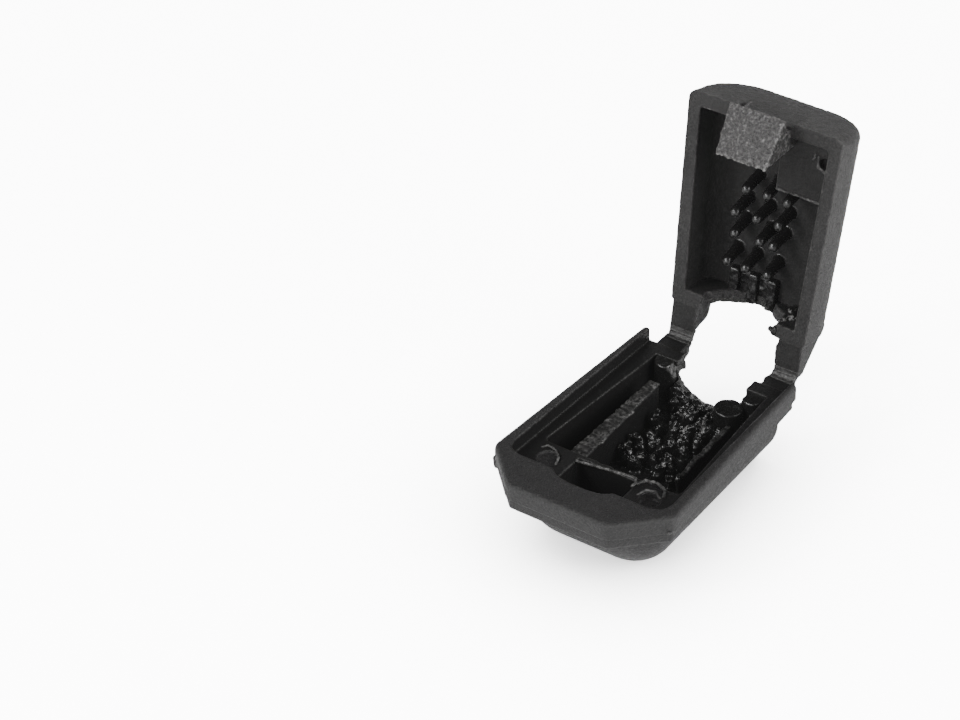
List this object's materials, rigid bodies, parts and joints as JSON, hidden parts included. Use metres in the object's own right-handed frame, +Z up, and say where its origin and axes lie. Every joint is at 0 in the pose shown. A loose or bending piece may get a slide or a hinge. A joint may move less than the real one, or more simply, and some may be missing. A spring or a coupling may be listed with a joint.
{
  "type": "cord lock",
  "caption": "Snap-shut cord lock: a flanged tray and a domed lid on two living-hinge straps, with pins, spikes and a latch that grip a cord end.",
  "frame": {"origin": "centre of the cord mouth on the outer face of the rear wall, in the plane where the two halves meet", "axes": "+X to the right seen from the latch end, +Y the way the cord leaves between the hinge straps, +Z up out of the base tray"},
  "size_m": [0.013, 0.0271, 0.0219],
  "materials": {
    "moulded_black": "fine spark-eroded texture",
    "sparked_black": "coarse spark-eroded texture",
    "glossy_grip": "glossy, as torn from the mould",
    "creased_film": "whitened by bending"
  },
  "bodies": {
    "base": {"base_shell": "moulded_black", "base_rib_left": "glossy_grip", "base_rib_right": "glossy_grip", "base_spike_bed": "glossy_grip", "base_post_left": "moulded_black", "base_post_right": "moulded_black", "base_strap_left": "moulded_black", "base_strap_right": "moulded_black", "hinge_film_left": "creased_film", "hinge_film_right": "creased_film"},
    "lid": {"lid_shell": "moulded_black", "lid_pin_bed": "glossy_grip", "lid_mouth_ribs": "glossy_grip", "latch_tongue": "sparked_black", "lid_strap_left": "moulded_black", "lid_strap_right": "moulded_black"}
  },
  "joints": [
    {"name": "lid_hinge", "type": "hinge", "parent": "base", "child": "lid", "pos_m": [0, 0.0022, 0], "axis": [-1, 0, 0], "range_deg": [-100, 80]}
  ]
}
